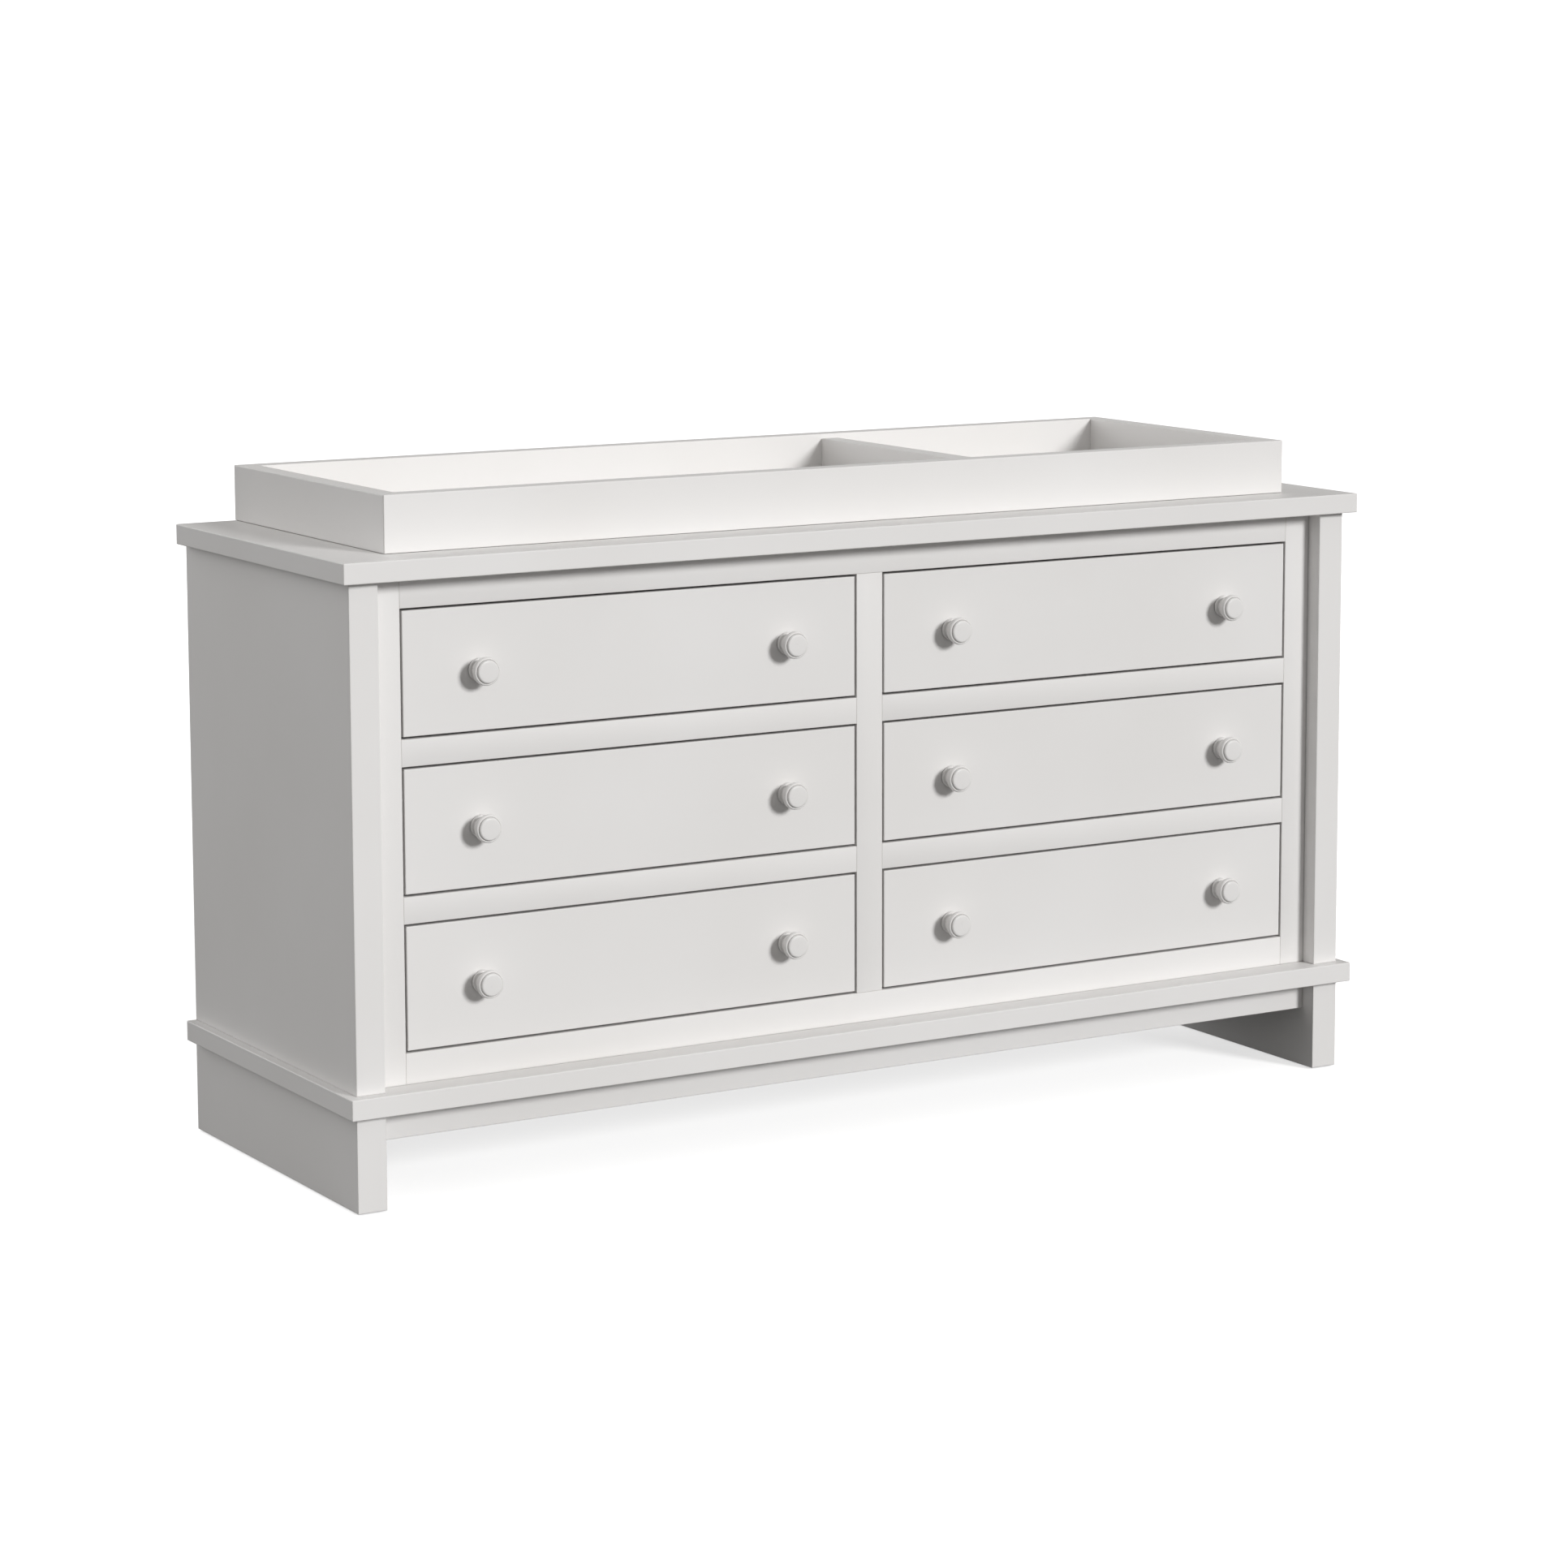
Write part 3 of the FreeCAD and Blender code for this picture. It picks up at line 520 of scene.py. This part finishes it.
def cross_head_screw(tip, axis, shank, length, head_radius, head_height):
    """Rings of a pan-head screw with a cross pressed into its head.

    Circles of the profile's radii stand along the axis: a short point, the shank, the
    underside of the head, a straight rim and an elliptical dome. The dome's points sink
    by a depth that fades past the width and the length of each arm of the cross.
    """
    rim = HEAD_RIM * head_height
    t = np.linspace(0, math.pi / 2, 22)
    radius = np.concatenate([[0, shank * 0.6, shank, shank, head_radius], head_radius * np.cos(t)])
    height = np.concatenate([
        [0, *SCREW_POINT, length, length], length + rim + (head_height - rim) * np.sin(t)
    ])
    rings = turned(np.stack([radius, height], 1), tip, axis, 56)
    away = np.delete(np.abs(rings - np.array(tip)), np.argmax(np.abs(axis)), axis=-1)
    narrow, far = away.min(-1), away.max(-1)
    arm, width = CROSS_ARM * head_radius, CROSS_WIDTH * head_radius
    sunk = np.clip(2 - narrow / width, 0, 1) * np.clip((arm - far) / (0.2 * arm), 0, 1)
    sunk *= (height > length + rim * 1.2)[:, None] * CROSS_DEPTH * head_height
    return rings - sunk[..., None] * np.array(axis)


SHEET = 0.0012
BOX_GAP = 0.00015            # drawer member to box
MEMBER_SCREW_PLACES = (0.035, 0.165, 0.33)
MEMBER_SCREW_SHANK = 0.0018
MEMBER_SCREW_BITE = 0.008    # into the box side
MEMBER_SCREW_HEAD = (0.0036, 0.0017)
for name in drawer_names:
    box_low, box_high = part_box(name + "_drawer_box")
    member_low, member_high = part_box(name + "_slide_middles")
    z = (member_low.z + member_high.z) / 2
    screws = []
    for sign, face in ((-1, box_low.x), (1, box_high.x)):
        for back in MEMBER_SCREW_PLACES:
            tip = (face - sign * MEMBER_SCREW_BITE, member_low.y + back, z)
            screws.append((cross_head_screw(
                tip, (sign, 0, 0), MEMBER_SCREW_SHANK,
                MEMBER_SCREW_BITE + BOX_GAP + SHEET, *MEMBER_SCREW_HEAD,
            ), 0))
    made_piece(name + "_slide_screws", screws, [zinc["Z"]], name + "_drawer", "zinc_steel")


# ---------------------------------------------------------------- drawer boxes
# Pine boxes with through dovetails at every corner, tails on the sides and pins on the
# front and back. The thin bottom sits in a groove and the painted front is screwed on.
WALL = 0.012
TAILS = 4
TAIL_ROOT_SHARE = 0.3
TAIL_SLOPE = math.radians(10.0)
JOINT_GAP = 0.00008
BOX_ROUND = 0.0004


def dovetail_levels(low, height):
    """Heights of a tail's lower and upper corners at its root and at its end, tail by tail."""
    pitch = height / TAILS
    middle = low + (np.arange(TAILS) + 0.5) * pitch
    root = pitch * TAIL_ROOT_SHARE
    end = root + WALL * math.tan(TAIL_SLOPE)
    return middle - root, middle + root, middle - end, middle + end


def side_outline(y0, y1, z0, z1):
    """Closed outline of a box side in the YZ plane, with tails along both ends."""
    root_low, root_high, end_low, end_high = dovetail_levels(z0, z1 - z0)
    gap = JOINT_GAP

    def edge(root_y, end_y):
        y = np.stack([np.full(TAILS, root_y), np.full(TAILS, end_y)] * 2, 1)[:, [0, 1, 3, 2]]
        z = np.stack([root_low + gap, end_low + gap, end_high - gap, root_high - gap], 1)
        return np.stack([y.ravel(), z.ravel()], 1)

    front = edge(y0 + WALL, y0)
    back = edge(y1 - WALL, y1)[::-1]
    return np.concatenate([
        [(y0 + WALL, z0)], front, [(y0 + WALL, z1), (y1 - WALL, z1)], back, [(y1 - WALL, z0)]
    ])


def cross_outline(x_half, z0, z1, inner):
    """Closed outline of a box front or back in the XZ plane, with pins at both ends.

    At the inner face the pins are as wide as the spaces between tail roots, and at the
    outer face as narrow as the spaces between tail ends.
    """
    root_low, root_high, end_low, end_high = dovetail_levels(z0, z1 - z0)
    low, high = (root_low, root_high) if inner else (end_low, end_high)
    x = np.tile([x_half, x_half - WALL, x_half - WALL, x_half], TAILS)
    z = np.stack([low, low, high, high], 1).ravel()
    right = np.concatenate([[(x_half, z0)], np.stack([x, z], 1), [(x_half, z1)]])
    left = right[::-1] * (-1, 1)
    return np.concatenate([right, left])


for name in drawer_names:
    low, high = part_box(name + "_drawer_box")
    middle = (low.x + high.x) / 2
    half = (high.x - low.x) / 2
    shells = []
    side = side_outline(low.y, high.y, low.z, high.z)
    for sign in (-1, 1):
        rings = np.empty((2, len(side), 3))
        rings[..., 1:] = side
        rings[0, :, 0] = middle + sign * (half - WALL)
        rings[1, :, 0] = middle + sign * half
        shells.append((rings, 1))
    for outer_y, inner_y in ((low.y, low.y + WALL), (high.y, high.y - WALL)):
        rings = np.empty((2, 2 * (4 * TAILS + 2), 3))
        for row, (y, inner) in enumerate(((outer_y, False), (inner_y, True))):
            outline = cross_outline(half, low.z, high.z, inner)
            rings[row, :, 0] = middle + outline[:, 0]
            rings[row, :, 1] = y
            rings[row, :, 2] = outline[:, 1]
        shells.append((rings, 0))
    box = made_piece(
        name + "_dovetailed_box", shells, [pine["X"], pine["Y"]],
        name + "_drawer", "bare_wood", name + "_drawer_box", smooth=20.0,
    )
    soften(box, BOX_ROUND, 1)


# ---------------------------------------------------------------- drawer fronts
# Inset fronts of solid board with eased edges, screwed to the boxes. The grain runs across.
dress(paint["X"], *[name + "_drawer_front" for name in drawer_names])


# ---------------------------------------------------------------- knobs
# Turned wooden knobs, two on each drawer: a rounded foot, a narrow neck, and a flared head
# whose rounded rim and flat face are set apart by a fine groove, sprayed in a glossier paint.
knob_paint = satin_paint("white_satin_knob_paint", "Y", gloss=0.17)
KNOB_FROM_END = 0.1055
KNOB_DROP = 0.0015
PROJECTION = 0.030


def smooth_curve(start, start_pull, end_pull, end, count):
    """Points on a cubic curve between two points, by its two middle control points."""
    t = np.linspace(0, 1, count)[:, None]
    points = [np.array(p) for p in (start, start_pull, end_pull, end)]
    weights = ((1 - t) ** 3, 3 * t * (1 - t) ** 2, 3 * t ** 2 * (1 - t), t ** 3)
    return [tuple(p) for p in sum(w * p for w, p in zip(weights, points))]


knob_foot = smooth_curve((0.0138, 0.0), (0.01488, 0.0008), (0.01488, 0.0044), (0.0138, 0.0052), 9)
knob_neck = smooth_curve((0.0136, 0.0053), (0.0119, 0.0054), (0.0116, 0.0064), (0.01195, 0.0074), 7)
knob_flare = smooth_curve((0.0120, 0.0075), (0.0138, 0.0118), (0.0156, 0.0150), (0.0171, 0.0182), 8)
knob_rim = smooth_curve((0.0171, 0.0183), (0.0188, 0.0210), (0.0189, 0.0262), (0.0163, 0.0268), 16)
knob_groove = smooth_curve((0.0162, 0.0268), (0.0155, 0.0268), (0.0154, 0.0262), (0.0151, 0.0261), 6)
knob_shoulder = smooth_curve(
    (0.0150, 0.0261), (0.0149, 0.0282), (0.0145, 0.0297), (0.0126, 0.02985), 16
)
knob_face = [(0.0095, 0.02991), (0.0063, 0.02996), (0.0031, 0.02999), (0, PROJECTION)]
knob_profile = (
    [(0, 0), (0.0138, 0)]
    + knob_foot + knob_neck + knob_flare + knob_rim + knob_groove + knob_shoulder + knob_face
)
for name in drawer_names:
    low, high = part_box(name + "_drawer_front")
    z = (low.z + high.z) / 2 - KNOB_DROP
    made_piece(
        name + "_turned_knobs",
        [
            (turned(knob_profile, (x, low.y, z), (0, -1, 0), 96), 0)
            for x in (low.x + KNOB_FROM_END, high.x - KNOB_FROM_END)
        ],
        [knob_paint], name + "_drawer", "knob_paint", name + "_drawer_knobs",
    )


# ---------------------------------------------------------------- top board
# A thick board with eased edges that stands out past the sides and the front.
dress(paint["X"], "top_board")


# ---------------------------------------------------------------- changing tray
# Four walls mitred at the corners round a thin bottom, with a divider housed between the
# long walls. It rests on the top board and lifts off. Its paint leaves out the painted
# shade of narrow gaps, so the line under its foot stays light.
# Copies of the satin paint without the painted gap shade.
tray_paint = {
    axis: satin_paint("tray_satin_paint_" + axis.lower(), axis, gap_shade=0.0) for axis in "XY"
}
dress(tray_paint["X"], "tray_front_wall", "tray_back_wall", "tray_bottom")
dress(tray_paint["Y"], "tray_end_walls", "tray_divider")


# ---------------------------------------------------------------- tray straps
# Two zinc plated straps, each held to the back of the tray by two cross-head screws and
# forked over a third one in the back rail, so that the tray lifts straight off.
SCREW_HEAD = (0.005, 0.0025)
SCREW_SHANK = 0.002
STRAP_WIDTH = 0.025
STRAP_THICKNESS = 0.002
STRAP_CORNER = 0.002
STRAP_ROUND = 0.0003
SLOT_HALF = 0.0025
STRAP_SCREW_RISES = (0.015, 0.039)    # above the tray's lower edge


def forked_strap(x, y, low_z, high_z, slot_z):
    """Two rings of a strap's outline: round outer corners, and a slot with a round end."""
    outer = STRAP_WIDTH / 2 - STRAP_CORNER
    tip = SLOT_HALF + STRAP_CORNER / 2
    right = (
        arc((0, slot_z), SLOT_HALF, 90, 0, 9)
        + arc((tip, low_z + STRAP_CORNER / 2), STRAP_CORNER / 2, 180, 270, 5)
        + arc((outer, low_z + STRAP_CORNER), STRAP_CORNER, 270, 360, 7)
        + arc((outer, high_z - STRAP_CORNER), STRAP_CORNER, 0, 90, 7)
    )
    outline = np.array(right + [(-a, b) for a, b in right[:0:-1]])
    rings = np.empty((2, len(outline), 3))
    rings[..., 0] = x + outline[:, 0]
    rings[..., 1] = [[y], [y + STRAP_THICKNESS]]
    rings[..., 2] = outline[:, 1]
    return rings


strap_low, strap_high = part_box("tray_straps")
hook_low, hook_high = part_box("tray_hook_screws")
hook_z = (hook_low.z + hook_high.z) / 2
tray_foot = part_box("tray_back_wall")[0].z
strap_back = strap_high.y - SCREW_HEAD[1]
strap_middles = (strap_low.x + STRAP_WIDTH / 2, strap_high.x - STRAP_WIDTH / 2)
straps = made_piece(
    "forked_tray_straps",
    [
        (forked_strap(x, strap_back - STRAP_THICKNESS, strap_low.z, strap_high.z, hook_z), 0)
        for x in strap_middles
    ],
    [zinc["Z"]], "changing_tray", "zinc_steel", "tray_straps",
)
soften(straps, STRAP_ROUND, 2)
made_piece(
    "cross_head_strap_screws",
    [
        (cross_head_screw(
            (x, strap_low.y, tray_foot + rise), (0, 1, 0), SCREW_SHANK,
            strap_back - strap_low.y, *SCREW_HEAD,
        ), 0)
        for x in strap_middles
        for rise in STRAP_SCREW_RISES
    ],
    [zinc["Y"]], "changing_tray", "zinc_steel",
)
made_piece(
    "cross_head_hook_screws",
    [
        (cross_head_screw(
            (x, hook_low.y, hook_z), (0, 1, 0), SCREW_SHANK,
            hook_high.y - SCREW_HEAD[1] - hook_low.y, *SCREW_HEAD,
        ), 0)
        for x in strap_middles
    ],
    [zinc["Y"]], "case", "zinc_steel", "tray_hook_screws",
)


# ---------------------------------------------------------------- studio
# A plain pale floor under soft studio light: a key from the front right, wide soft lamps
# off the left side and behind, and an even fill from all round.
FLOOR_HALF = 60.0
FLOOR_SEEN = (0.92, 0.92, 0.92, 1)
FLOOR_BOUNCE = (0.22, 0.22, 0.22, 1)
FLOOR_GLOW = 0.63
floor_mesh = bpy.data.meshes.new("studio_floor")
floor_mesh.from_pydata(
    [(-FLOOR_HALF, -FLOOR_HALF, 0), (FLOOR_HALF, -FLOOR_HALF, 0),
     (FLOOR_HALF, FLOOR_HALF, 0), (-FLOOR_HALF, FLOOR_HALF, 0)], [], [(0, 1, 2, 3)],
)
floor = bpy.data.objects.new("studio_floor", floor_mesh)
bpy.context.scene.collection.objects.link(floor)
floor_finish = bpy.data.materials.new("pale_floor")
floor_finish.use_nodes = True
tree = floor_finish.node_tree
tree.nodes.clear()
seen = shader_node(tree, "ShaderNodeBsdfDiffuse", Color=FLOOR_SEEN).outputs[0]
glow = shader_node(tree, "ShaderNodeEmission", Strength=FLOOR_GLOW).outputs[0]
bright = shader_node(tree, "ShaderNodeAddShader", _0=seen, _1=glow).outputs[0]
bounce = shader_node(tree, "ShaderNodeBsdfDiffuse", Color=FLOOR_BOUNCE).outputs[0]
direct = shader_node(tree, "ShaderNodeLightPath").outputs["Is Camera Ray"]
either = shader_node(tree, "ShaderNodeMixShader", _0=direct, _1=bounce, _2=bright).outputs[0]
shader_node(tree, "ShaderNodeOutputMaterial", Surface=either)
floor_mesh.materials.append(floor_finish)


def far_lamp(name, azimuth, elevation, strength, spread):
    """A far lamp: azimuth from the front towards the right, elevation and spread in degrees."""
    data = bpy.data.lights.new(name, "SUN")
    data.energy = strength
    data.angle = math.radians(spread)
    lamp = bpy.data.objects.new(name, data)
    bpy.context.scene.collection.objects.link(lamp)
    a, e = math.radians(azimuth), math.radians(elevation)
    toward = Vector((math.sin(a) * math.cos(e), -math.cos(a) * math.cos(e), math.sin(e)))
    lamp.rotation_euler = toward.to_track_quat("Z", "Y").to_euler()


KEY_STRENGTH = 2.24
FILL_STRENGTH = 0.37
FILL_COLOUR = (1.0, 0.99, 0.975, 1)
BACKDROP_STRENGTH = 1.1
SIDE_STRENGTH = 0.18
BACK_STRENGTH = 1.2
far_lamp("key_lamp", azimuth=20.0, elevation=19.0, strength=KEY_STRENGTH, spread=14.0)
far_lamp("side_lamp", azimuth=-112.0, elevation=15.0, strength=SIDE_STRENGTH, spread=45.0)
far_lamp("back_lamp", azimuth=200.0, elevation=17.0, strength=BACK_STRENGTH, spread=38.0)
world = bpy.data.worlds.new("studio_air")
world.use_nodes = True
bpy.context.scene.world = world
tree = world.node_tree
tree.nodes.clear()
backdrop = shader_node(
    tree, "ShaderNodeBackground", Color=(1, 1, 1, 1), Strength=BACKDROP_STRENGTH
).outputs[0]
fill = shader_node(
    tree, "ShaderNodeBackground", Color=FILL_COLOUR, Strength=FILL_STRENGTH
).outputs[0]
direct = shader_node(tree, "ShaderNodeLightPath").outputs["Is Camera Ray"]
either = shader_node(tree, "ShaderNodeMixShader", _0=direct, _1=fill, _2=backdrop).outputs[0]
shader_node(tree, "ShaderNodeOutputWorld", Surface=either)
bpy.context.scene.view_settings.view_transform = "Standard"


# ---------------------------------------------------------------- camera
# A long lens to the left of the front, a little above the tray, looking slightly down.
CAMERA_PLACE = (-2.9922, -5.0347, 1.4553)
CAMERA_YAW = math.radians(30.73)
CAMERA_DIP = math.radians(7.71)
CAMERA_ROLL = math.radians(0.158)
CAMERA_LENS = 98.81
CAMERA_SENSOR = 36.0
CAMERA_SHIFT = -0.1
camera_data = bpy.data.cameras.new("studio_camera")
camera_data.sensor_width = CAMERA_SENSOR
camera_data.lens = CAMERA_LENS
camera_data.shift_y = CAMERA_SHIFT
camera_data.clip_end = 200.0
camera = bpy.data.objects.new("studio_camera", camera_data)
bpy.context.scene.collection.objects.link(camera)
ahead = Vector((
    math.sin(CAMERA_YAW) * math.cos(CAMERA_DIP),
    math.cos(CAMERA_YAW) * math.cos(CAMERA_DIP),
    -math.sin(CAMERA_DIP),
))
camera.matrix_world = (
    Matrix.Translation(CAMERA_PLACE)
    @ ahead.to_track_quat("-Z", "Y").to_matrix().to_4x4()
    @ Matrix.Rotation(-CAMERA_ROLL, 4, "Z")
)
bpy.context.scene.camera = camera
